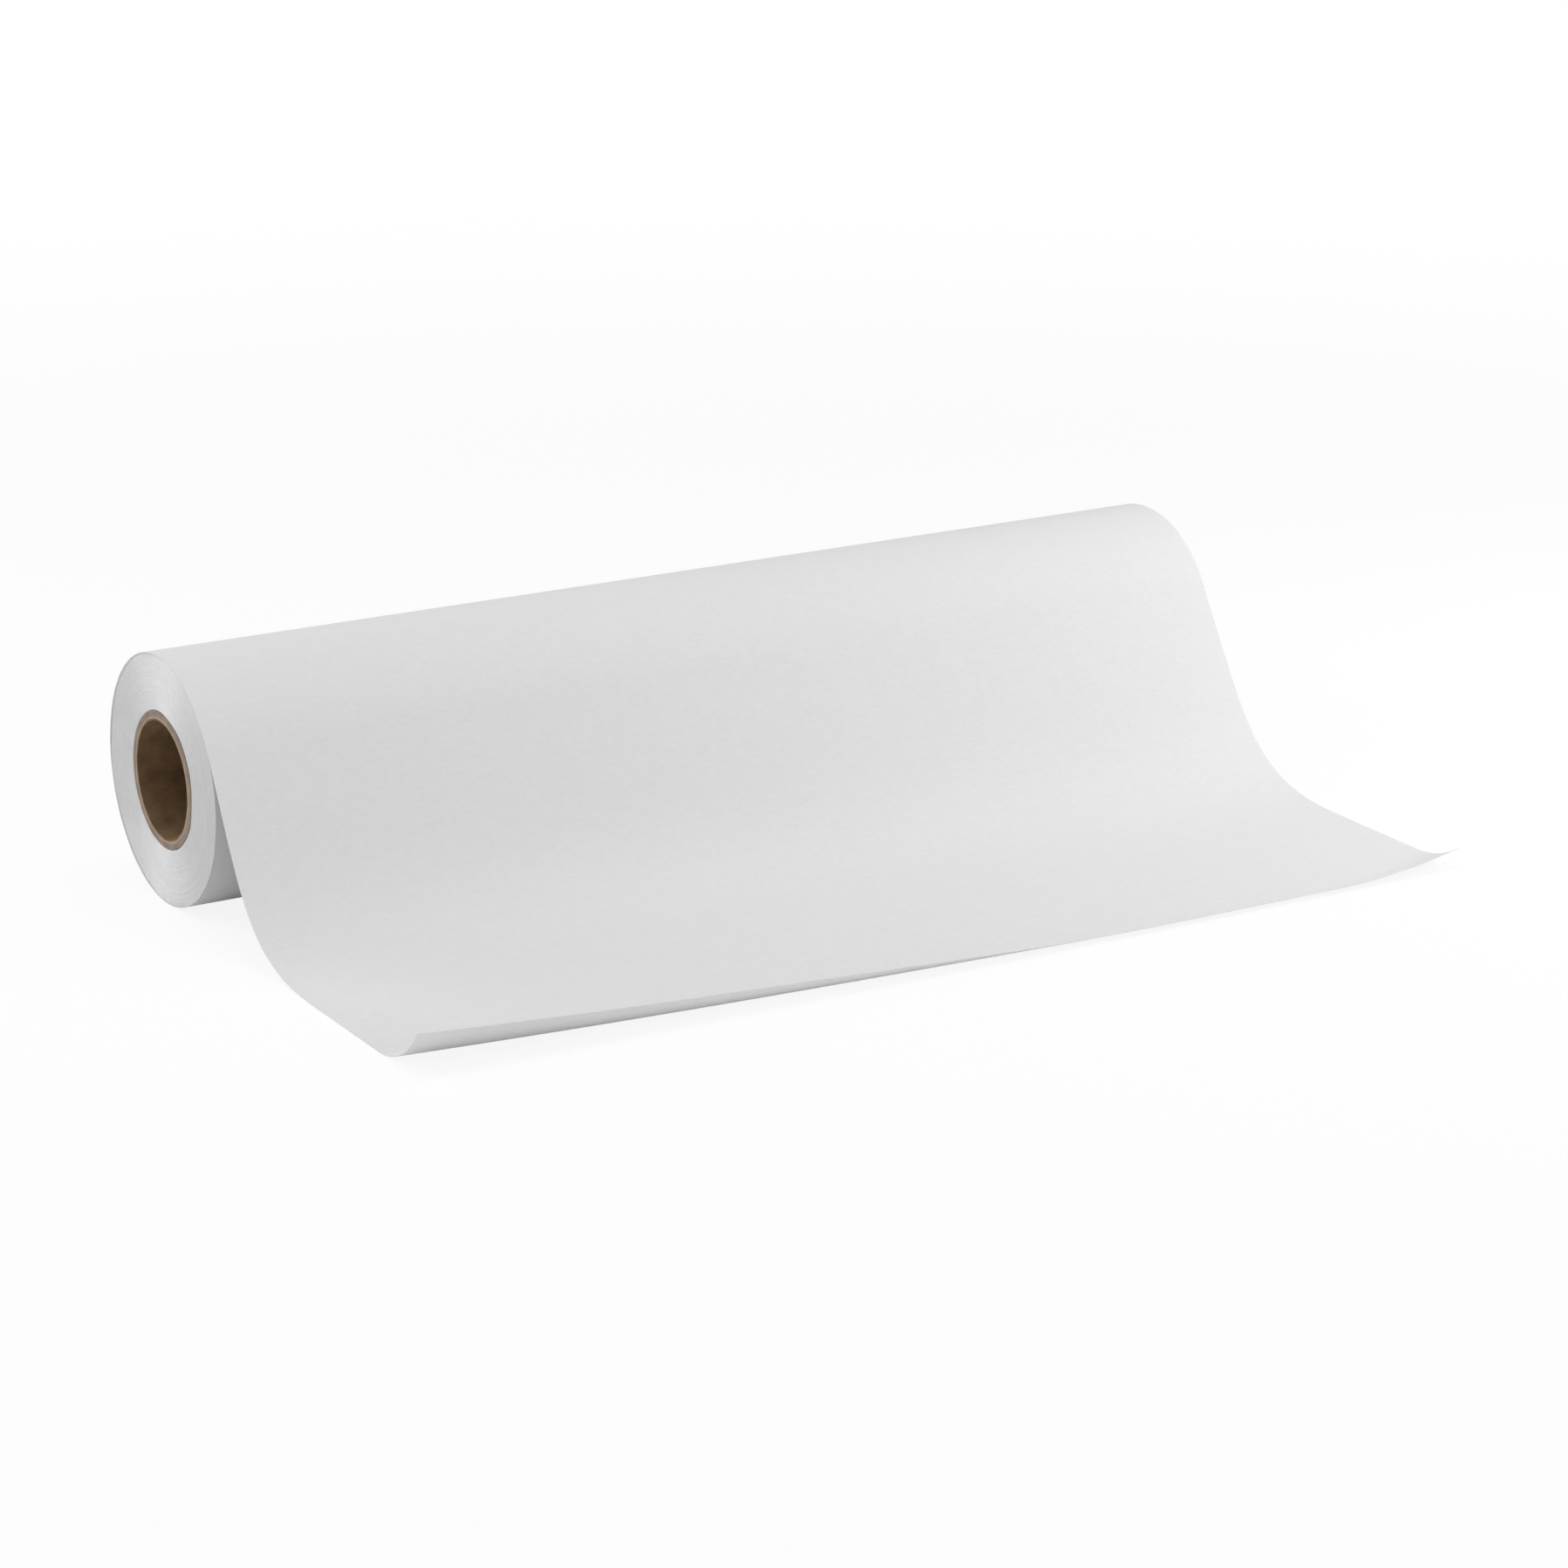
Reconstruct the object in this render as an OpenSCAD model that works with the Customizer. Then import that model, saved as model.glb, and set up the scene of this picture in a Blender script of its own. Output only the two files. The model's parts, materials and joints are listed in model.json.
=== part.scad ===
// Tabletop roll of seamless backdrop paper with its free end pulled off onto a flat surface.
// The origin is the centre of the core's bore at mid-width, +X runs along the roll,
// -Y is the way the sheet is pulled off, and +Z is up.

/* [Roll] */
// Width of the paper, along the roll
paper_w = 500; // [300:1:700]
// Outside diameter of the full roll, over its last turn
roll_d = 108; // [90:1:140]
// Thickness of one layer of paper
paper_t = 0.25; // [0.15:0.01:0.4]

/* [Core] */
// Diameter of the hole through the core
bore_d = 50.8; // [38:0.1:64]
// How far the core stands out past the paper at each end
core_proud = 0; // [0:0.5:30]
// Thickness of the smooth ply that lines the bore
liner_t = 0.6; // [0.3:0.05:0.9]
// Thickness of each grey board ply
board_t = 0.85; // [0.5:0.05:1.1]
// Thickness of the outermost ply
cover_t = 0.65; // [0.3:0.05:0.9]

/* [Start tape] */
// Width of the tape that holds the paper's first end, around the core
tape_w = 19; // [10:1:40]
// Thickness of the tape
tape_t = 0.12; // [0.05:0.01:0.16]
// Distance from each edge of the paper to the end of the tape
tape_inset = 15; // [5:1:60]

/* [Free end] */
// Angle from the top of the roll at which the sheet leaves it
leave_angle = 58; // [50:1:65]
// Distance ahead of the roll's front at which the sheet touches down
touch_down = 77; // [65:1:110]
// Length of the flat stretch from the touch-down line to the loose front
flat_len = 59; // [40:1:120]
// Length of the loose front, from the end of the flat stretch to the cut
front_len = 51; // [48:1:80]

/* [Curled front edge] */
// Angle through which the front edge curls up
curl_angle = 58; // [20:1:80]
// Length of paper in the curl at the left corner
curl_left = 40; // [10:1:45]
// Length of paper in the curl at the right corner
curl_right = 19; // [5:1:45]
// Length of paper in the curl where it is slightest
curl_least = 3; // [2:0.5:5]
// Share of the width over which the left curl dies away
fade_left = 0.7; // [0.5:0.05:0.8]
// Share of the width over which the right curl dies away
fade_right = 0.15; // [0.05:0.05:0.2]

/* [Clearances] */
// Film of glue between two plies of the core
glue_line = 0.05; // [0.03:0.01:0.1]
// Gap from the core to the first turn of paper, where the tape sits
first_turn_gap = 0.2; // [0.18:0.01:0.3]
// Gap from the wound turns to the last turn, which they run under
last_turn_gap = 0.3; // [0.3:0.05:0.5]
// Angle from the leaving sheet to the start of the turn below it
nip_angle = 8; // [7:1:15]

/* [Hidden] */
$fn = 96;

core_len = paper_w + 2 * core_proud;

// Radii, from the bore outwards
bore_r = bore_d / 2;
liner_r = bore_r + liner_t;
board_step = board_t + glue_line;
boards = 3;
cover_r = liner_r + boards * board_step + glue_line;
core_r = cover_r + cover_t;
turns_r = core_r + first_turn_gap;
roll_r = roll_d / 2;
last_turn_r = roll_r - paper_t;
wound_r = last_turn_r - last_turn_gap;

// The sheet's upper face leaves the roll at the leave angle, runs straight, then turns level
floor_z = -roll_r;
touch_y = roll_r + touch_down;
run = touch_y - roll_r * sin(leave_angle);
drop = roll_r * cos(leave_angle) + roll_r - paper_t;
sweep_r = (run * tan(leave_angle) - drop) / (1 / cos(leave_angle) - 1);
straight_len = (run - sweep_r * sin(leave_angle)) / cos(leave_angle);
front_y = touch_y + flat_len;

// Steps round the curl, steps along each fading stretch of it, and the share of the width where
// the left curl gives way to the right one
curl_steps = 8;
left_steps = 14;
right_steps = 4;
curls_meet = (1 + fade_left - fade_right) / 2;

paper_colour = "whitesmoke";
board_colour = "rosybrown";
liner_colour = "tan";

// A tube along X with the given radii and length
module tube(inner_r, outer_r, len) {
    rotate([0, 90, 0])
        difference() {
            cylinder(r = outer_r, h = len, center = true);
            cylinder(r = inner_r, h = 2 * len, center = true);
        }
}

// Part of a tube along X, from one angle to another, measured from the top towards the front
module arc_strip(inner_r, outer_r, len, from_angle, to_angle) {
    translate([-len / 2, 0, 0])
        rotate([90 + from_angle, 0, 0])
            rotate([0, 90, 0])
                rotate([0, 0, 90])
                    rotate_extrude(angle = to_angle - from_angle)
                        translate([inner_r, 0])
                            square([outer_r - inner_r, len]);
}

// One board ply of the core, counted outwards from the liner
module board_ply(number) {
    inner_r = liner_r + glue_line + (number - 1) * board_step;
    color(board_colour) tube(inner_r, inner_r + board_t, core_len);
}

module core_liner_ply() {
    color(liner_colour) tube(bore_r, liner_r, core_len);
}

module core_cover_ply() {
    color(liner_colour) tube(cover_r, core_r, core_len);
}

// The tape lies midway in the gap between the core and the first turn
module start_tape() {
    tape_r = core_r + (first_turn_gap - tape_t) / 2;
    half_angle = tape_w / core_r * 90 / PI;
    color("khaki")
        arc_strip(tape_r, tape_r + tape_t, paper_w - 2 * tape_inset, -half_angle, half_angle);
}

module wound_turns() {
    color(paper_colour) tube(turns_r, wound_r, paper_w);
}

// The outermost turn goes from below the leaving sheet, under, behind and over the roll
module last_turn() {
    color(paper_colour)
        arc_strip(last_turn_r, roll_r, paper_w, leave_angle + nip_angle - 360, leave_angle);
}

module draped_panel() {
    color(paper_colour)
        rotate([leave_angle, 0, 0])
            translate([-paper_w / 2, -straight_len, last_turn_r])
                cube([paper_w, straight_len, paper_t]);
}

// The concave bend that brings the sheet down level with the surface
module sweep() {
    color(paper_colour)
        translate([0, -touch_y, floor_z + paper_t + sweep_r])
            arc_strip(sweep_r, sweep_r + paper_t, paper_w, 180, 180 + leave_angle);
}

module floor_stretch() {
    color(paper_colour)
        translate([-paper_w / 2, -front_y, floor_z])
            cube([paper_w, flat_len, paper_t]);
}

// Length of paper in the curl at a share of the width, from 0 at the left to 1 at the right
function curl_len(share) = curl_least
    + max(0, 1 - share / fade_left) * (curl_left - curl_least)
    + max(0, 1 - (1 - share) / fade_right) * (curl_right - curl_least);

// Distance ahead of the axis at which the curl starts
function curl_start(share) = front_y + front_len - curl_len(share);

// The loose front that still lies flat, up to the line where it starts to curl
module front_flat() {
    shares = [0, fade_left, 1 - fade_right, 1];
    far_line = [for (share = shares) [paper_w * (share - 0.5), -curl_start(share)]];
    color(paper_colour)
        translate([0, 0, floor_z])
            linear_extrude(paper_t)
                polygon(concat([[paper_w / 2, -front_y], [-paper_w / 2, -front_y]], far_line));
}

// Point on one face of the curl: side is 1 for the upper face and -1 for the lower
function curl_point(share, step, side) =
    let (bend_r = curl_len(share) / (curl_angle * PI / 180), angle = curl_angle * step / curl_steps,
        face_r = bend_r - side * paper_t / 2)
    [paper_w * (share - 0.5), -curl_start(share) - face_r * sin(angle),
        floor_z + paper_t / 2 + bend_r - face_r * cos(angle)];

// The closed outline of the curl at a share of the width, lower face first
function curl_section(share) = concat(
    [for (step = [0:curl_steps]) curl_point(share, step, -1)],
    [for (step = [curl_steps:-1:0]) curl_point(share, step, 1)]);

// The curled strip through the given shares of the width, straight from each to the next
module curl(shares) {
    ring = 2 * (curl_steps + 1);
    last = len(shares) - 1;
    points = [for (share = shares) each curl_section(share)];
    sides = [for (i = [0:last - 1], j = [0:ring - 1])
        let (here = i * ring + j, beside = i * ring + (j + 1) % ring)
        each [[here, beside + ring, beside], [here, here + ring, beside + ring]]];
    left_end = [for (j = [0:ring - 1]) j];
    right_end = [for (j = [ring - 1:-1:0]) last * ring + j];
    color(paper_colour) polyhedron(points, concat(sides, [left_end, right_end]));
}

// Even steps from one share of the width to another, both included
function spread(from, to, steps) = [for (i = [0:steps]) from + (to - from) * i / steps];

module left_curl() {
    curl(concat(spread(0, fade_left, left_steps), [curls_meet]));
}

module right_curl() {
    curl(concat([curls_meet], spread(1 - fade_right, 1, right_steps)));
}

core_liner_ply();
board_ply(1);  // core_board_ply_1
board_ply(2);  // core_board_ply_2
board_ply(3);  // core_board_ply_3
core_cover_ply();
start_tape();
wound_turns();
last_turn();
draped_panel();
sweep();
floor_stretch();
front_flat();
left_curl();
right_curl();
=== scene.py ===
"""Backdrop paper roll: its looks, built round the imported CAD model. Metres, in the part's own frame."""
import json
import math

import bpy
import numpy as np
from mathutils import Matrix, Vector

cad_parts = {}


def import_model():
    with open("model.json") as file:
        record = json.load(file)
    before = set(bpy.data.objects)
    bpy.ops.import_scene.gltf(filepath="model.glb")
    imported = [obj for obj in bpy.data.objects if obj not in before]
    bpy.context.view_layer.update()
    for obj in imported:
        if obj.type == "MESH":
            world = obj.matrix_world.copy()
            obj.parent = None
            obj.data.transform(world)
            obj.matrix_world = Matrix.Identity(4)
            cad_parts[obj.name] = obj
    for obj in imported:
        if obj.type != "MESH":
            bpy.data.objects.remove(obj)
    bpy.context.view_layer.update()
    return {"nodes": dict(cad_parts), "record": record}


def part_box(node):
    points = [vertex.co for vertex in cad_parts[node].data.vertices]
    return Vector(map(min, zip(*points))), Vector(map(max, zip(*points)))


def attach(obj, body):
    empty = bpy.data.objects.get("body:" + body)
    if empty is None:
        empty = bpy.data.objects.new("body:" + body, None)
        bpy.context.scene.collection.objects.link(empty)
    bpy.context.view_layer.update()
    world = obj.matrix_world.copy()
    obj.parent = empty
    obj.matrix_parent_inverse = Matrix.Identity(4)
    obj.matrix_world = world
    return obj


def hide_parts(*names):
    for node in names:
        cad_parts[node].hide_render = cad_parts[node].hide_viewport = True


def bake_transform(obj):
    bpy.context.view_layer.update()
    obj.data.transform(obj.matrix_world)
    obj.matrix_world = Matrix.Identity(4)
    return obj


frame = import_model()

MM = 0.001
RNG = np.random.RandomState(11)

# Sizes that come from the frame
FLOOR_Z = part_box("floor_stretch")[0].z
ROLL_R = -FLOOR_Z
PAPER_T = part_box("floor_stretch")[1].z - FLOOR_Z
HALF_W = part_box("floor_stretch")[1].x
CUT_AHEAD = 1.35 * MM          # the curled cut edge comes out this far ahead of the flat front
CUT_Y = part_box("front_flat")[0].y - CUT_AHEAD
BORE_R = next(m for m in frame["record"]["mounts"] if m["name"] == "core_bore")["dims"]["r_mm"] * MM
CORE_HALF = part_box("core_liner_ply")[1].x
GLUE_LINE = 0.05 * MM


# ---------------------------------------------------------------- meshes

def make_object(name, points, faces, sharp_angle=40):
    """A smooth-shaded mesh object with its sharp edges marked."""
    mesh = bpy.data.meshes.new(name)
    mesh.from_pydata([tuple(p) for p in points], [], [tuple(int(i) for i in f) for f in faces])
    mesh.validate()
    mesh.polygons.foreach_set("use_smooth", [True] * len(mesh.polygons))
    mesh.set_sharp_from_angle(angle=math.radians(sharp_angle))
    obj = bpy.data.objects.new(name, mesh)
    bpy.context.scene.collection.objects.link(obj)
    return obj


def grid_faces(rows, columns, first=0, wrap=False, flip=False):
    """Quads of a grid of points stored row by row. With wrap, each row closes on itself."""
    faces = []
    for r in range(rows - 1):
        for c in range(columns if wrap else columns - 1):
            d = (c + 1) % columns
            quad = (first + r * columns + c, first + r * columns + d,
                    first + (r + 1) * columns + d, first + (r + 1) * columns + c)
            faces.append(quad[::-1] if flip else quad)
    return faces


def smooth_noise(count, knots, size, closed=False):
    """A wandering line of the given number of points, through random knots."""
    values = RNG.uniform(-size, size, knots)
    if closed:
        values[-1] = values[0]
    place = np.linspace(0, knots - 1, count)
    low = np.minimum(place.astype(int), knots - 2)
    share = place - low
    share = share * share * (3 - 2 * share)
    return values[low] * (1 - share) + values[low + 1] * share


# ---------------------------------------------------------------- the paper web

COLUMNS = 121
TURN_ROWS = 220
DRAPE_ROWS = 80
FLAT_ROWS = 16
CURL_ROWS = 24

LEAVE_LEFT, LEAVE_RIGHT = math.radians(62), math.radians(58)
BEND_START_LEFT, BEND_START_RIGHT = 25 * MM, 30 * MM
TURN_STEP = 0.28 * MM          # how far the last turn lies above the start of the turn below it
TURN_IN_R = ROLL_R - PAPER_T - TURN_STEP       # how far in the last turn's underside reaches
NIP = math.radians(2)          # the turn below shows from this far past the leaving sheet
NIP_FADE = math.radians(3)     # where the sheet leaves, the turn below thins out over this
CURL_LEFT, CURL_LEFT_FADE = 40.6 * MM, 0.72
CURL_RIGHT, CURL_RIGHT_FADE = 30 * MM, 0.15
CURL_LEAST = 11.7 * MM
CURL_ANGLE_LEFT, CURL_ANGLE_RIGHT, CURL_ANGLE_LEAST = (math.radians(a) for a in (56.5, 35, 22))
CURL_RISE_LEFT, CURL_RISE_RIGHT = 6.5, 6       # how soon the angle comes up towards each corner
FALL_STEPS = 600
FALL_LONGEST = 0.4
CUT_SKEW = 1.3 * MM            # the cut runs this much further out at the left corner
WAVE = 0.5 * MM                # height of the waves in the fall
WAVES = (                      # each wave's part of the height, its turn across and down, its start
    (1.0, 7.1, 3.7, 0.6),
    (0.6, 15.3, -2.9, 2.1),
)
EDGE_WANDER = 0.05 * MM        # how far the two long edges wander
CUT_WANDER = 0.1 * MM          # and how far the cut does


def bend_slope(share):
    """Share of the leaving slope that is left, part of the way round the bend."""
    return 1 - (share - np.sin(2 * math.pi * share) / (2 * math.pi))


def fall(leave, bend_start, bend_end):
    """The sheet's middle layer from where it leaves the roll to where it lies level."""
    along = np.linspace(0, bend_end, FALL_STEPS)
    slope = leave * bend_slope(np.clip((along - bend_start) / (bend_end - bend_start), 0, 1))
    mid = (slope[1:] + slope[:-1]) / 2
    step = np.diff(along)
    radius = ROLL_R - PAPER_T / 2
    ahead = radius * math.sin(leave) + np.concatenate([[0], np.cumsum(np.cos(mid) * step)])
    up = radius * math.cos(leave) - np.concatenate([[0], np.cumsum(np.sin(mid) * step)])
    return along, ahead, up, slope


def settle(leave, bend_start):
    """Where the bend has to end for the sheet to come down just onto the floor."""
    low, high = bend_start + MM, FALL_LONGEST
    for _ in range(50):
        middle = (low + high) / 2
        if fall(leave, bend_start, middle)[2][-1] > FLOOR_Z + PAPER_T / 2:
            low = middle
        else:
            high = middle
    return low


def curl_at(share):
    """Length of paper in the curl, and the angle it turns through, at a share of the width."""
    left = max(0, 1 - share / CURL_LEFT_FADE) ** 2
    right = max(0, 1 - (1 - share) / CURL_RIGHT_FADE) ** 3
    length = CURL_LEAST + left * (CURL_LEFT - CURL_LEAST) + right * (CURL_RIGHT - CURL_LEAST)
    angle = (CURL_ANGLE_LEAST + math.tanh(CURL_RISE_LEFT * left) * (CURL_ANGLE_LEFT - CURL_ANGLE_LEAST)
             + math.tanh(CURL_RISE_RIGHT * right) * (CURL_ANGLE_RIGHT - CURL_ANGLE_LEAST))
    return length, angle


def web_column(share):
    """One line along the web: how far ahead, how far up, and the slope below level, row by row."""
    leave = LEAVE_LEFT + share * (LEAVE_RIGHT - LEAVE_LEFT)
    bend_start = BEND_START_LEFT + share * (BEND_START_RIGHT - BEND_START_LEFT)
    turn = np.linspace(leave + NIP - 2 * math.pi, leave, TURN_ROWS, endpoint=False)
    radius = ROLL_R - PAPER_T / 2 - TURN_STEP * (leave - turn) / (2 * math.pi)
    rows = [(radius * np.sin(turn), radius * np.cos(turn), turn)]

    along, ahead, up, slope = fall(leave, bend_start, settle(leave, bend_start))
    pick = np.linspace(0, along[-1], DRAPE_ROWS, endpoint=False)
    rows.append(tuple(np.interp(pick, along, line) for line in (ahead, up, slope)))

    length, angle = curl_at(share)
    cut = -CUT_Y + CUT_SKEW * (0.5 - share)
    flat = np.linspace(ahead[-1], cut - length, FLAT_ROWS, endpoint=False)
    level = FLOOR_Z + PAPER_T / 2
    rows.append((flat, np.full(FLAT_ROWS, level), np.zeros(FLAT_ROWS)))

    turned = np.linspace(0, angle, CURL_ROWS)
    bend_r = length / angle
    rows.append((cut - length + bend_r * np.sin(turned), level + bend_r * (1 - np.cos(turned)), -turned))
    return [np.concatenate(line) for line in zip(*rows)]


def paper_web():
    """The last turn, the drape, the flat stretch and the curled front, as one sheet of real thickness."""
    shares = np.linspace(0, 1, COLUMNS)
    ahead, up, slope = (np.array(line).T for line in zip(*[web_column(s) for s in shares]))
    rows = ahead.shape[0]

    # Broad, shallow waves where the sheet hangs free
    window = np.zeros(rows)
    window[TURN_ROWS:TURN_ROWS + DRAPE_ROWS] = np.sin(np.linspace(0, math.pi, DRAPE_ROWS)) ** 2
    row_place = np.arange(rows)[:, None] / DRAPE_ROWS
    wave = sum(part * np.sin(across * shares + down * row_place + start)
               for part, across, down, start in WAVES)
    lift = WAVE * window[:, None] * wave / sum(part for part, *_ in WAVES)
    ahead = ahead + lift * np.sin(slope)
    up = up + lift * np.cos(slope)

    x = np.tile(-HALF_W + 2 * HALF_W * shares, (rows, 1))
    x[:, 0] += smooth_noise(rows, knots=90, size=EDGE_WANDER) + EDGE_WANDER
    x[:, -1] -= smooth_noise(rows, knots=90, size=EDGE_WANDER) + EDGE_WANDER
    ahead[-1] += smooth_noise(COLUMNS, knots=60, size=CUT_WANDER)

    # Round the roll, the underside also closes the wedge that the spiral leaves above the turns below
    under_depth = np.full(ahead.shape, PAPER_T / 2)
    wedge = np.hypot(ahead, up)[:TURN_ROWS] - TURN_IN_R - PAPER_T / 2
    leaving = slope[TURN_ROWS - 1] - slope[:TURN_ROWS]
    under_depth[:TURN_ROWS] += wedge * np.clip(leaving / NIP_FADE, 0, 1)

    normal_y, normal_z = -np.sin(slope), np.cos(slope)
    sides = []
    for half in (PAPER_T / 2, -under_depth):
        sides.append(np.stack([x, -ahead + half * normal_y, up + half * normal_z], axis=-1))
    points = np.concatenate([side.reshape(-1, 3) for side in sides])
    under = rows * COLUMNS
    faces = grid_faces(rows, COLUMNS, flip=True) + grid_faces(rows, COLUMNS, under)
    for r in range(rows - 1):
        a, b = r * COLUMNS, (r + 1) * COLUMNS
        faces.append((a, b, b + under, a + under))
        a, b = a + COLUMNS - 1, b + COLUMNS - 1
        faces.append((b, a, a + under, b + under))
    for c in range(COLUMNS - 1):
        faces.append((c + 1, c, c + under, c + 1 + under))
        d = (rows - 1) * COLUMNS + c
        faces.append((d, d + 1, d + 1 + under, d + under))
    length = float(np.hypot(np.diff(ahead[:, COLUMNS // 2]), np.diff(up[:, COLUMNS // 2])).sum())
    return make_object("paper_web", points, faces), length


# ---------------------------------------------------------------- the wound turns

TURNS_ROUND = 192
TAPE_ROOM = 0.2 * MM           # left round the core for the start tape
TURN_GAP = 0.08 * MM           # keeps the pack clear of the sheet's underside
TURNS_IN_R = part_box("core_cover_ply")[1].z + TAPE_ROOM
TURNS_OUT_R = ROLL_R - 2 * PAPER_T - TURN_GAP
TURN_COUNT = int((TURNS_OUT_R - TURNS_IN_R) / PAPER_T)
GROOVE = 0.09 * MM             # depth of the groove between two turns at the ends
END_INSET = 0.1 * MM           # keeps the ends inside the width of the roll
TELESCOPE = 0.14 * MM          # how far groups of turns slide past each other at the ends
SMALL_TELESCOPE = 0.1 * MM     # and how far smaller groups do
TURN_STAGGER = 0.06 * MM       # and how far one turn does
SWAY = 0.2 * MM                # how far the ends of the pack lean in and out on the way round
SWAYS = (                      # each sway's part, its waves round the roll, its turn a ring, its start
    (1.0, 5, 1 / 23, 0.0),
    (0.7, 9, -1 / 31, 1.2),
)


def wound_turns():
    """The wound paper: a groove between each two turns at both ends, and turns that wander sideways."""
    rings = 2 * TURN_COUNT + 1
    radii = np.linspace(TURNS_IN_R, TURNS_OUT_R, rings)
    angles = np.linspace(0, 2 * math.pi, TURNS_ROUND, endpoint=False)
    points = []
    for end in (-1, 1):
        wander = (smooth_noise(rings, knots=14, size=TELESCOPE)
                  + smooth_noise(rings, knots=60, size=SMALL_TELESCOPE))
        depth = np.where(np.arange(rings) % 2 == 0, GROOVE, 0) + np.abs(wander)
        depth = depth + np.repeat(RNG.uniform(0, TURN_STAGGER, TURN_COUNT + 1), 2)[:rings]
        for ring in range(rings):
            r = radii[ring] if end < 0 else radii[rings - 1 - ring]
            inset = depth[ring] if end < 0 else depth[rings - 1 - ring]
            sway = sum(part * np.sin(waves * angles + drift * ring + start)
                       for part, waves, drift, start in SWAYS)
            lean = SWAY * sway / sum(part for part, *_ in SWAYS)
            x = end * (HALF_W - END_INSET - inset - SWAY - lean)
            points += list(zip(np.broadcast_to(x, angles.shape), r * np.sin(angles), r * np.cos(angles)))
    faces = grid_faces(2 * rings, TURNS_ROUND, wrap=True)
    last = (2 * rings - 1) * TURNS_ROUND
    for c in range(TURNS_ROUND):
        d = (c + 1) % TURNS_ROUND
        faces.append((last + c, last + d, d, c))
    return make_object("paper_turns", points, faces, sharp_angle=20)


# ---------------------------------------------------------------- the cardboard core

CORE_ROUND = 120
SEAM_LEAD = 170 * MM           # length in which a ply's spiral joint goes once round
SEAM_TURN = 1.3                # radians from one ply's joint to the next ply's
SEAM_WIDTH = math.radians(0.7)
SEAM_DEPTH = 0.22 * MM
RAGGED = 0.09 * MM             # how far the cut ends wander
PLY_BEVEL = 0.08 * MM
AT_END = 0.99                  # share of the half length past which a ring belongs to the cut end


def ply_tube(name, inner_r, outer_r, length_steps, seam_turn):
    """One ply of the core: a tube whose spiral joint is a groove inside and whose cut ends are ragged."""
    free = np.linspace(2 * SEAM_WIDTH, 2 * math.pi - 2 * SEAM_WIDTH, CORE_ROUND - 3)
    angles = np.concatenate([[-SEAM_WIDTH, 0, SEAM_WIDTH], free])
    groove = np.zeros(len(angles))
    groove[1] = SEAM_DEPTH
    count = len(angles)
    cut_low = smooth_noise(count, knots=50, size=RAGGED, closed=True)
    cut_high = smooth_noise(count, knots=50, size=RAGGED, closed=True)
    half = CORE_HALF - RAGGED
    inside = np.linspace(-half, half, length_steps)
    inside[0] += PLY_BEVEL
    inside[-1] -= PLY_BEVEL
    outline = [(x, inner_r, 1) for x in inside]
    outline += [(half, inner_r + PLY_BEVEL, 0), (half, outer_r - PLY_BEVEL, 0)]
    outline += [(half - PLY_BEVEL, outer_r, 0), (-half + PLY_BEVEL, outer_r, 0)]
    outline += [(-half, outer_r - PLY_BEVEL, 0), (-half, inner_r + PLY_BEVEL, 0)]
    points = []
    for x, r, open_seam in outline:
        turned = angles + 2 * math.pi * x / SEAM_LEAD + seam_turn
        radius = r + open_seam * groove
        ragged = np.zeros(count)
        if x < -AT_END * half:
            ragged = cut_low
        elif x > AT_END * half:
            ragged = cut_high
        points += list(zip(x + ragged, radius * np.sin(turned), radius * np.cos(turned)))
    faces = grid_faces(len(outline), count, wrap=True)
    last = (len(outline) - 1) * count
    for c in range(count):
        d = (c + 1) % count
        faces.append((last + c, last + d, d, c))
    return make_object(name, points, faces)


# ---------------------------------------------------------------- materials

def shader(name, roughness, specular):
    """A new material's node tree and its Principled shader, with the given finish."""
    material = bpy.data.materials.new(name)
    material.use_nodes = True
    tree = material.node_tree
    principled = tree.nodes["Principled BSDF"]
    principled.inputs["Roughness"].default_value = roughness
    principled.inputs["Specular IOR Level"].default_value = specular
    return material, tree, principled


def noise(tree, scale, detail, stretch=(1, 1, 1)):
    """Noise in the part's own space, drawn out along an axis by a stretch below 1."""
    where = tree.nodes.new("ShaderNodeTexCoord")
    mapping = tree.nodes.new("ShaderNodeMapping")
    mapping.inputs["Scale"].default_value = stretch
    texture = tree.nodes.new("ShaderNodeTexNoise")
    texture.inputs["Scale"].default_value = scale
    texture.inputs["Detail"].default_value = detail
    tree.links.new(where.outputs["Object"], mapping.inputs["Vector"])
    tree.links.new(mapping.outputs["Vector"], texture.inputs["Vector"])
    return texture.outputs["Fac"]


def ring_noise(tree, scale, detail=3.0):
    """Noise that changes only with the distance from the roll's axis, for tones that go round it."""
    where = tree.nodes.new("ShaderNodeTexCoord")
    across = tree.nodes.new("ShaderNodeVectorMath")
    across.operation = "MULTIPLY"
    across.inputs[1].default_value = (0, 1, 1)
    radius = tree.nodes.new("ShaderNodeVectorMath")
    radius.operation = "LENGTH"
    texture = tree.nodes.new("ShaderNodeTexNoise")
    texture.noise_dimensions = "1D"
    texture.inputs["Scale"].default_value = scale
    texture.inputs["Detail"].default_value = detail
    tree.links.new(where.outputs["Object"], across.inputs[0])
    tree.links.new(across.outputs["Vector"], radius.inputs[0])
    tree.links.new(radius.outputs["Value"], texture.inputs["W"])
    return texture.outputs["Fac"]


def ramp(tree, factor, low, high, dark, light):
    """Colour from dark to light as the factor goes from low to high."""
    node = tree.nodes.new("ShaderNodeValToRGB")
    node.color_ramp.elements[0].position = low
    node.color_ramp.elements[1].position = high
    node.color_ramp.elements[0].color = (*dark, 1)
    node.color_ramp.elements[1].color = (*light, 1)
    tree.links.new(factor, node.inputs["Fac"])
    return node.outputs["Color"]


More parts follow.
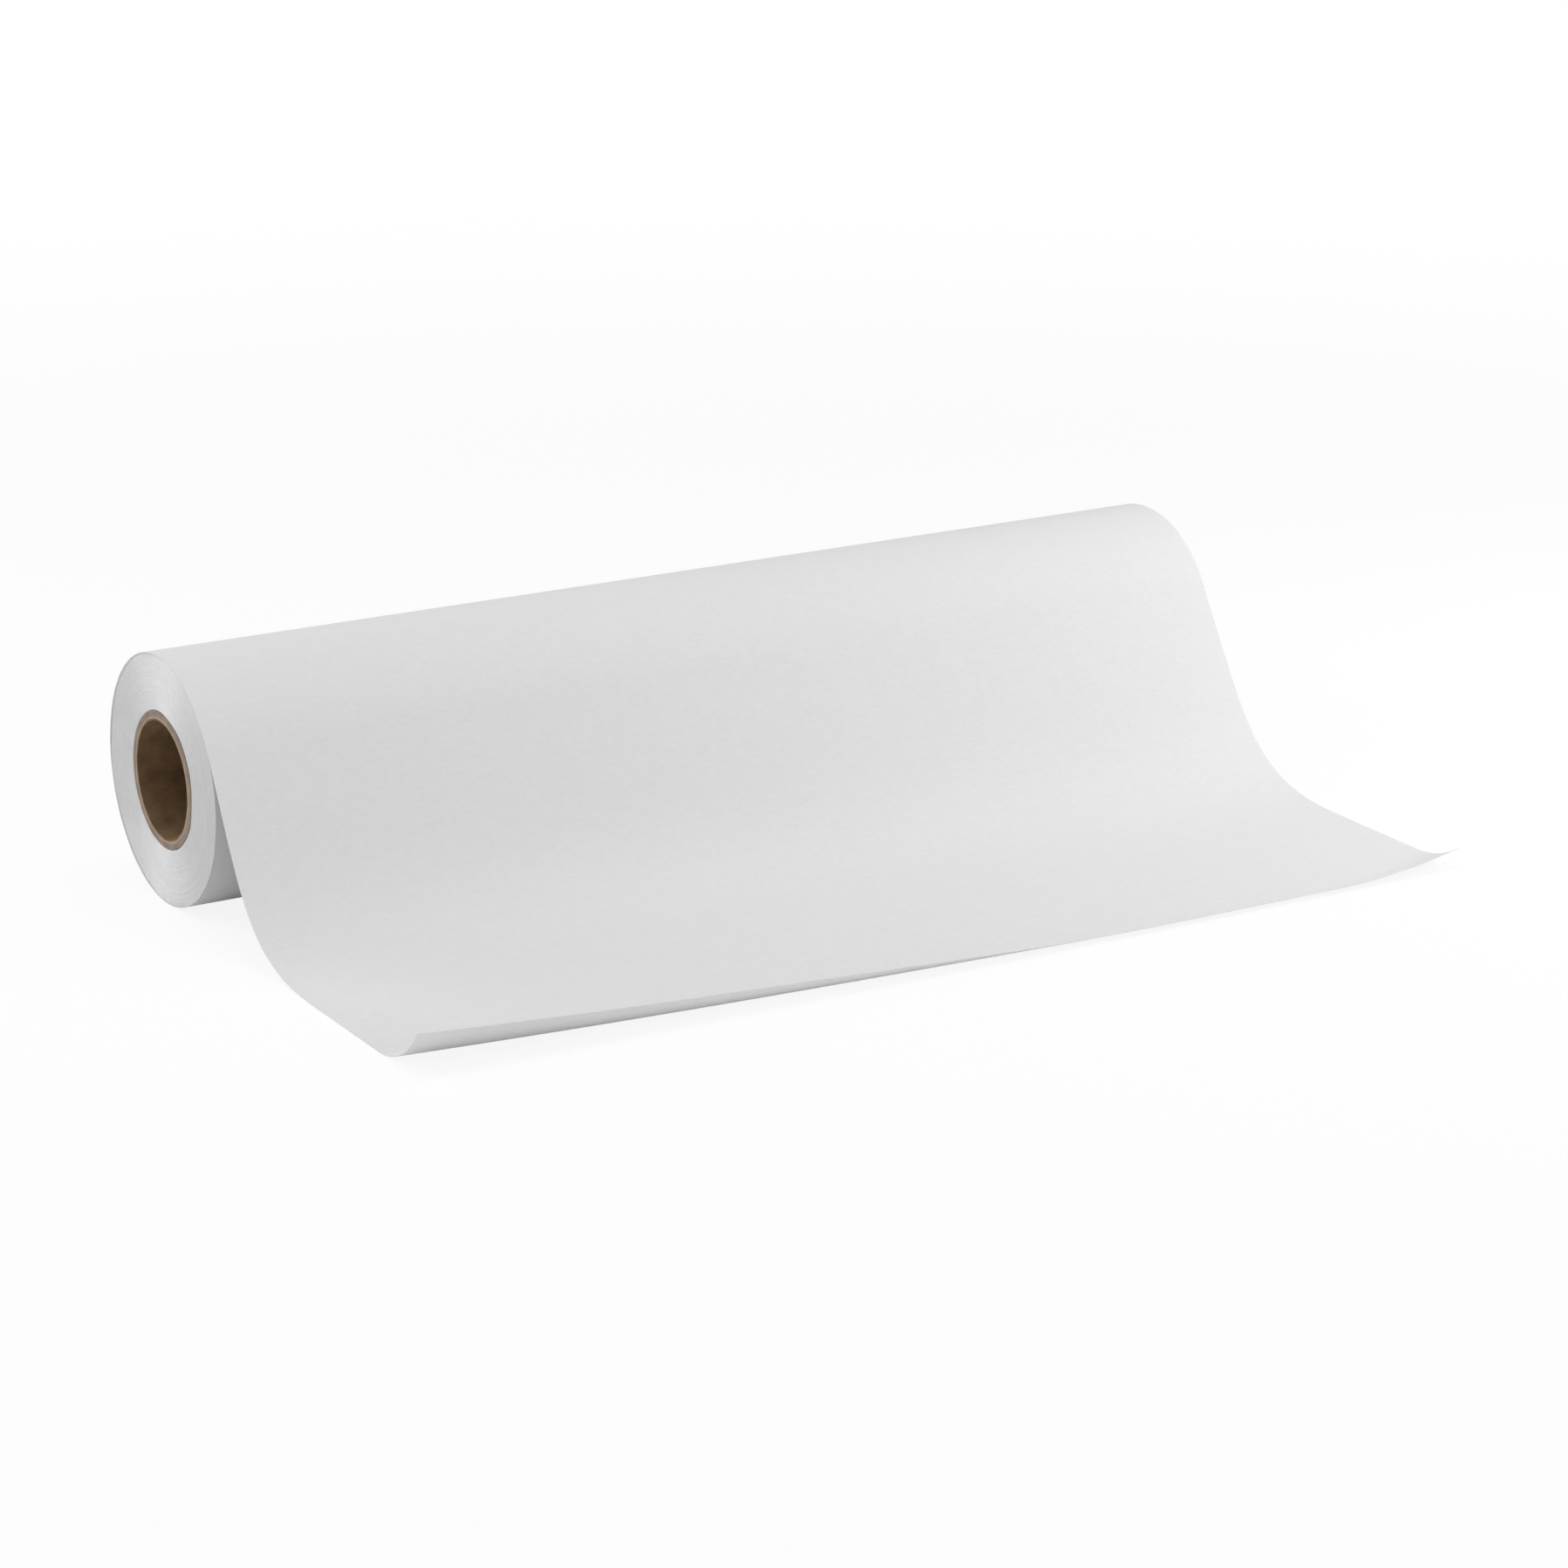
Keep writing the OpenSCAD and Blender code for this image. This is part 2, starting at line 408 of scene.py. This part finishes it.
def multiply(tree, a, b, share=1.0):
    """Colour a darkened by colour b."""
    node = tree.nodes.new("ShaderNodeMix")
    node.data_type = "RGBA"
    node.blend_type = "MULTIPLY"
    node.inputs["Factor"].default_value = share
    tree.links.new(a, node.inputs["A"])
    tree.links.new(b, node.inputs["B"])
    return node.outputs["Result"]


def bump(tree, principled, heights, depth):
    """Bump from several (height, strength) pairs, one on top of the other."""
    below = None
    for height, strength in heights:
        node = tree.nodes.new("ShaderNodeBump")
        node.inputs["Strength"].default_value = strength
        node.inputs["Distance"].default_value = depth
        tree.links.new(height, node.inputs["Height"])
        if below is not None:
            tree.links.new(below, node.inputs["Normal"])
        below = node.outputs["Normal"]
    tree.links.new(below, principled.inputs["Normal"])


def paper_material():
    """Matt white uncoated paper: faint cloudy formation, a fine tooth and fibres drawn along the roll."""
    material, tree, principled = shader("paper_white", 0.82, 0.25)
    clouds = ramp(tree, noise(tree, 160, 3), 0.3, 0.7, (0.795, 0.795, 0.795), (0.805, 0.805, 0.805))
    tooth = ramp(tree, noise(tree, 850, 3, (0.35, 1, 1)), 0.3, 0.7, (0.965, 0.965, 0.965), (1, 1, 1))
    tree.links.new(multiply(tree, clouds, tooth), principled.inputs["Base Color"])
    bump(tree, principled, [(noise(tree, 1400, 3, (0.4, 1, 1)), 0.25), (noise(tree, 90, 2), 0.1)], 0.12 * MM)
    return material


def turn_edge_material():
    """The cut edges of many turns, side by side: cool white, faint rings that are part bump and part painted
    shade between groups of turns, and a sheen across them.
    """
    material, tree, principled = shader("paper_turn_edges", 0.4, 0.5)
    principled.inputs["Anisotropic"].default_value = 0.8
    principled.inputs["Anisotropic Rotation"].default_value = 0.25
    tangent = tree.nodes.new("ShaderNodeTangent")
    tangent.direction_type = "RADIAL"
    tangent.axis = "X"
    tree.links.new(tangent.outputs["Tangent"], principled.inputs["Tangent"])
    clouds = ramp(tree, noise(tree, 320, 4), 0.3, 0.7, (0.80, 0.80, 0.803), (0.84, 0.84, 0.843))
    grime = ramp(tree, noise(tree, 60, 3), 0.35, 0.65, (0.96, 0.96, 0.96), (1, 1, 1))
    ring_shade_and_bump = ring_noise(tree, 900)
    # Painted shade: rings darker by distance from the axis stand for the shade between groups of turns at
    # different depths; the same noise also drives a real bump
    rings = ramp(tree, ring_shade_and_bump, 0.3, 0.7, (0.94, 0.94, 0.94), (1, 1, 1))
    colour = multiply(tree, multiply(tree, clouds, grime), rings)
    tree.links.new(colour, principled.inputs["Base Color"])
    bump(tree, principled, [(noise(tree, 1800, 3), 0.3), (ring_shade_and_bump, 0.3)], 0.08 * MM)
    return material


def board_material(name, dark, light, roughness, fibre=1.0, specular=0.35):
    """Recycled board: two browns, short fibres and specks."""
    material, tree, principled = shader(name, roughness, specular)
    base = ramp(tree, noise(tree, 140, 5), 0.3, 0.7, dark, light)
    fibres = ramp(tree, noise(tree, 1500, 3, (0.25, 1, 1)), 0.35, 0.65, (0.80, 0.79, 0.77), (1, 1, 1))
    specks = ramp(tree, noise(tree, 3200, 1), 0.30, 0.36, (0.55, 0.50, 0.45), (1, 1, 1))
    colour = multiply(tree, multiply(tree, base, fibres, fibre), specks, 0.5)
    tree.links.new(colour, principled.inputs["Base Color"])
    bump(tree, principled, [(noise(tree, 1500, 3, (0.25, 1, 1)), 0.5), (noise(tree, 300, 3), 0.3)], 0.1 * MM)
    return material


def dress(obj, material, slot, body, *nodes):
    """Gives a piece its material and its body, and hides the CAD nodes that it stands for. The slot argument
    is not used.
    """
    obj.data.materials.clear()
    obj.data.materials.append(material)
    if body is not None:
        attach(obj, body)
    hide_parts(*nodes)


# ---------------------------------------------------------------- the object

paper = paper_material()
turn_edges = turn_edge_material()
liner_board = board_material("kraft_liner", (0.200, 0.124, 0.066), (0.310, 0.200, 0.113), 0.6, 0.7, 0.12)
ply_board = board_material("grey_board", (0.30, 0.235, 0.185), (0.42, 0.34, 0.275), 0.85)
pale_board = board_material("tan_board", (0.42, 0.325, 0.25), (0.54, 0.43, 0.34), 0.8)

web, web_length = paper_web()
dress(web, paper, "paper", None, "last_turn", "draped_panel", "sweep", "floor_stretch",
      "front_flat", "left_curl", "right_curl")
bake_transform(web)

turns = wound_turns()
dress(turns, turn_edges, "paper", "roll", "wound_turns")

ply_edges = [BORE_R] + [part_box(n)[1].z for n in (
    "core_liner_ply", "core_board_ply_1", "core_board_ply_2", "core_board_ply_3", "core_cover_ply")]
PLIES = [
    ("core_liner", liner_board, "liner_board", "core_liner_ply", 90),
    ("core_board_1", pale_board, "grey_board", "core_board_ply_1", 2),
    ("core_board_2", ply_board, "grey_board", "core_board_ply_2", 2),
    ("core_board_3", ply_board, "grey_board", "core_board_ply_3", 2),
    ("core_cover", ply_board, "grey_board", "core_cover_ply", 2),
]
for number, (name, material, slot, node, steps) in enumerate(PLIES):
    inner_r = ply_edges[number] + (GLUE_LINE if number else 0)
    ply = ply_tube(name, inner_r, ply_edges[number + 1], steps, SEAM_TURN * number)
    dress(ply, material, slot, "roll", node)

tape = board_material("crepe_tape", (0.50, 0.38, 0.20), (0.62, 0.48, 0.27), 0.7)
frame["nodes"]["start_tape"].data.materials.clear()
frame["nodes"]["start_tape"].data.materials.append(tape)


# ---------------------------------------------------------------- floor, light and camera

def seen_directly(tree):
    """1 for camera, glossy and transmission rays, which see the white background."""
    path = tree.nodes.new("ShaderNodeLightPath")
    found = path.outputs["Is Camera Ray"]
    for other in ("Is Glossy Ray", "Is Transmission Ray"):
        node = tree.nodes.new("ShaderNodeMath")
        node.operation = "MAXIMUM"
        tree.links.new(found, node.inputs[0])
        tree.links.new(path.outputs[other], node.inputs[1])
        found = node.outputs[0]
    return found


FLOOR_HALF = 6.0
FLOOR_DROP = 0.02 * MM                 # keeps the floor off the underside of the sheet
FLOOR_TONE = 0.96                      # of the light that it throws back onto the part
WHITE_NEAR, WHITE_FAR = 0.88, 1.0      # share of plain white that the camera sees, near the part and far off
FADE_FROM, FADE_TO = 0.45, 1.5         # where that share starts and stops growing


def floor():
    """A pale floor that shows near white and still takes a soft shadow."""
    corners = [(x, y, FLOOR_Z - FLOOR_DROP) for x, y in ((-1, -1), (1, -1), (1, 1), (-1, 1))]
    points = [(FLOOR_HALF * x, FLOOR_HALF * y, z) for x, y, z in corners]
    obj = make_object("floor", points, [(0, 1, 2, 3)])
    material = bpy.data.materials.new("floor_white")
    material.use_nodes = True
    tree = material.node_tree
    tree.nodes.clear()
    diffuse = tree.nodes.new("ShaderNodeBsdfDiffuse")
    tone = tree.nodes.new("ShaderNodeMapRange")
    tone.inputs["To Min"].default_value = FLOOR_TONE
    tone.inputs["To Max"].default_value = 1.0
    glow = tree.nodes.new("ShaderNodeEmission")
    glow.inputs["Strength"].default_value = 1.0
    where = tree.nodes.new("ShaderNodeTexCoord")
    reach = tree.nodes.new("ShaderNodeVectorMath")
    reach.operation = "LENGTH"
    tree.links.new(where.outputs["Object"], reach.inputs[0])
    white = tree.nodes.new("ShaderNodeMapRange")
    white.interpolation_type = "SMOOTHSTEP"
    white.inputs["From Min"].default_value = FADE_FROM
    white.inputs["From Max"].default_value = FADE_TO
    white.inputs["To Min"].default_value = WHITE_NEAR
    white.inputs["To Max"].default_value = WHITE_FAR
    tree.links.new(reach.outputs["Value"], white.inputs["Value"])
    share = tree.nodes.new("ShaderNodeMath")
    share.operation = "MULTIPLY"
    tree.links.new(white.outputs["Result"], share.inputs[1])
    mix = tree.nodes.new("ShaderNodeMixShader")
    out = tree.nodes.new("ShaderNodeOutputMaterial")
    seen = seen_directly(tree)
    tree.links.new(seen, tone.inputs["Value"])
    tree.links.new(tone.outputs["Result"], diffuse.inputs["Color"])
    tree.links.new(seen, share.inputs[0])
    tree.links.new(share.outputs[0], mix.inputs[0])
    tree.links.new(diffuse.outputs[0], mix.inputs[1])
    tree.links.new(glow.outputs[0], mix.inputs[2])
    tree.links.new(mix.outputs[0], out.inputs["Surface"])
    obj.data.materials.append(material)


def world(strength):
    """Soft grey light from all round, which looks white where it is seen directly."""
    scene_world = bpy.data.worlds.new("studio")
    bpy.context.scene.world = scene_world
    scene_world.use_nodes = True
    tree = scene_world.node_tree
    tree.nodes.clear()
    soft = tree.nodes.new("ShaderNodeBackground")
    soft.inputs["Color"].default_value = (1, 1, 1, 1)
    soft.inputs["Strength"].default_value = strength
    white = tree.nodes.new("ShaderNodeBackground")
    white.inputs["Color"].default_value = (1, 1, 1, 1)
    mix = tree.nodes.new("ShaderNodeMixShader")
    out = tree.nodes.new("ShaderNodeOutputWorld")
    tree.links.new(seen_directly(tree), mix.inputs[0])
    tree.links.new(soft.outputs[0], mix.inputs[1])
    tree.links.new(white.outputs[0], mix.inputs[2])
    tree.links.new(mix.outputs[0], out.inputs["Surface"])


WORLD_STRENGTH = 0.2
LIGHTS_AIM = Vector((0, -0.1, 0))
LIGHTS = [                             # name, place, size and watts
    ("near_right", (0.75, -0.3, 0.3), 0.5, 2.9),
    ("top", (0, -0.1, 1.6), 1.0, 9.4),
    ("front_low", (0.2, -1.6, 0.3), 0.9, 5.3),
    ("left_high", (-1.1, 0, 1.0), 0.9, 4.2),
    ("left_back", (-1.0, 1.0, 0.6), 0.9, 6.0),
]


def soft_light(name, place, size, watts):
    """A square softbox at a place, aimed at the middle of the part."""
    light = bpy.data.lights.new(name, "AREA")
    light.size = size
    light.energy = watts
    obj = bpy.data.objects.new(name, light)
    obj.location = place
    obj.rotation_euler = (LIGHTS_AIM - Vector(place)).to_track_quat("-Z", "Y").to_euler()
    bpy.context.scene.collection.objects.link(obj)


AZIMUTH, ELEVATION, TILT = (math.radians(a) for a in (31.29, 17.83, 0.38))
AIM = Vector((-28.6, -134.5, 0.2)) * MM
DISTANCE = 1.899
LENS_MM, SENSOR_MM = 104.76, 36


def camera():
    """The photograph's viewpoint: from the front left and a little above, with a long lens."""
    back = Vector((-math.sin(AZIMUTH) * math.cos(ELEVATION), -math.cos(AZIMUTH) * math.cos(ELEVATION),
                   math.sin(ELEVATION)))
    right = Vector((math.cos(AZIMUTH), -math.sin(AZIMUTH), 0))
    up = back.cross(right)
    level = Matrix((right, up, back)).transposed()
    data = bpy.data.cameras.new("camera")
    data.lens = LENS_MM
    data.sensor_width = SENSOR_MM
    data.clip_start = 0.01
    data.clip_end = 50
    obj = bpy.data.objects.new("camera", data)
    turned = level @ Matrix.Rotation(TILT, 3, "Z")
    obj.matrix_world = Matrix.Translation(AIM + back * DISTANCE) @ turned.to_4x4()
    bpy.context.scene.collection.objects.link(obj)
    bpy.context.scene.camera = obj


floor()
world(WORLD_STRENGTH)
for light_settings in LIGHTS:
    soft_light(*light_settings)
camera()
bpy.context.scene.view_settings.view_transform = "Standard"
